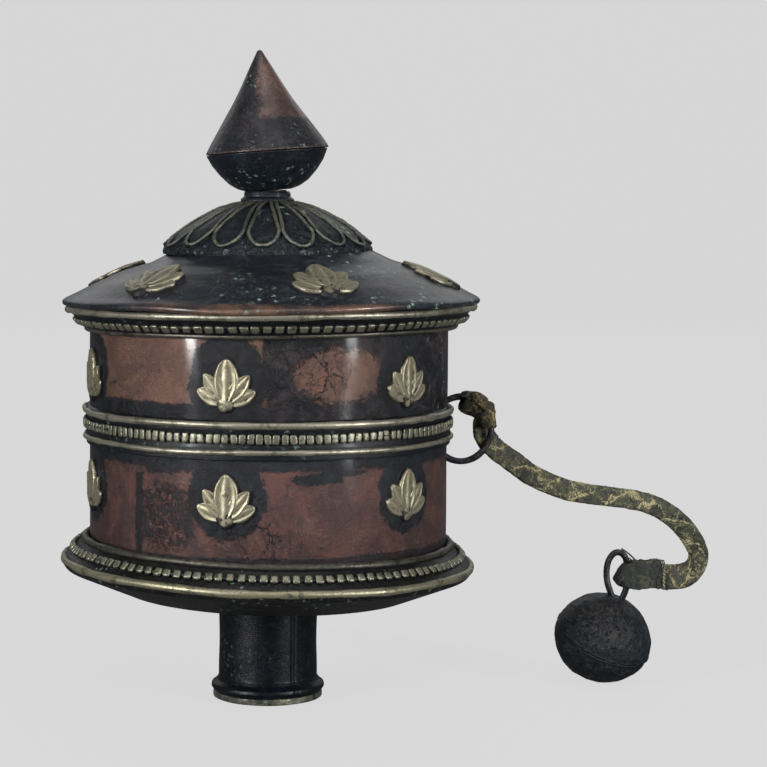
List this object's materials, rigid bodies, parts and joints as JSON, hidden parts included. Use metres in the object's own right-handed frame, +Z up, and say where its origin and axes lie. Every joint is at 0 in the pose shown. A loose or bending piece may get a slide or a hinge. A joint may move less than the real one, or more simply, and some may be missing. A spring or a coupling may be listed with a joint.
{
  "type": "prayer wheel",
  "caption": "Hand prayer wheel: a copper drum with bead bands, lid and finial that spins on a ferrule's spindle, with a weight on a rawhide strap.",
  "frame": {"origin": "centre of the ferrule's mouth, on the plane that the wheel stands on", "axes": "+Z up the spindle towards the finial, +X towards the ring and strap, -Y to the front"},
  "size_m": [0.1201, 0.0756, 0.1179],
  "materials": {
    "dark_patina": "blackened copper, satin",
    "copper": "worn copper sheet with patina",
    "white_metal": "dull nickel silver",
    "brass_bush": "turned",
    "iron": "dark wrought iron",
    "lead": "cast",
    "wood": "plain bamboo",
    "paper": "blank, rolled",
    "cloth": "plain cotton",
    "thread": "twisted cotton",
    "rawhide": "dry, cracked",
    "binding": "waxed thread"
  },
  "bodies": {
    "ferrule": {"ferrule_tube": "dark_patina", "foot_ring": "white_metal", "ferrule_cap": "copper", "bearing_washer": "brass_bush", "spindle": "iron", "spindle_collar": "iron"},
    "drum": {"base_plate": "dark_patina", "bottom_bush": "brass_bush", "base_skirt": "copper", "base_outer_roll": "white_metal", "base_bead_strip": "white_metal", "base_inner_roll": "white_metal", "drum_shell": "copper", "mid_band": "dark_patina", "band_upper_wire_ring": "white_metal", "band_bead_strip": "white_metal", "band_lower_wire_ring": "white_metal", "upper_ornaments": "white_metal", "lower_ornaments": "white_metal", "core_tube": "wood", "paper_scroll": "paper", "scroll_wrapper": "cloth", "scroll_ties": "thread"},
    "lid": {"lid_cover": "copper", "lid_rim": "dark_patina", "lid_rim_wire": "white_metal", "lid_bead_strip": "white_metal", "lid_lower_wire": "white_metal", "lid_spigot": "copper", "lid_bush": "brass_bush", "lid_ornaments": "white_metal", "lotus_cap": "dark_patina", "lotus_petal_wires": "white_metal", "neck_collar": "dark_patina"},
    "finial": {"finial_tang": "dark_patina", "finial_bowl": "dark_patina", "finial_cone": "copper"},
    "ring": {"ring": "iron"},
    "strap": {"strap_knot": "rawhide", "strap": "rawhide", "strap_end_fold": "rawhide", "strap_binding": "binding"},
    "weight": {"weight_loop": "iron", "weight_upper_half": "dark_patina", "weight_lower_half": "dark_patina", "weight_core": "lead"}
  },
  "joints": [
    {"name": "drum_spin", "type": "hinge", "parent": "ferrule", "child": "drum", "pos_m": [0, 0, 0.0191], "axis": [0, 0, 1], "continuous": true},
    {"name": "lid_lift", "type": "slide", "parent": "drum", "child": "lid", "axis": [0, 0, 1], "range_m": [0, 0.04]},
    {"name": "finial_lift", "type": "slide", "parent": "lid", "child": "finial", "axis": [0, 0, 1], "range_m": [0, 0.012]},
    {"name": "ring_swing", "type": "hinge", "parent": "drum", "child": "ring", "pos_m": [0.032, 0, 0.0496], "axis": [0, 0, 1], "range_deg": [-35, 35]},
    {"name": "strap_slide", "type": "hinge", "parent": "ring", "child": "strap", "pos_m": [0.0354, 0, 0.0496], "axis": [0, 1, 0], "range_deg": [-8, 30]},
    {"name": "weight_swing", "type": "hinge", "parent": "strap", "child": "weight", "pos_m": [0.0673, 0.014, 0.0208], "axis": [0, 0, 1], "range_deg": [-30, 30]}
  ]
}
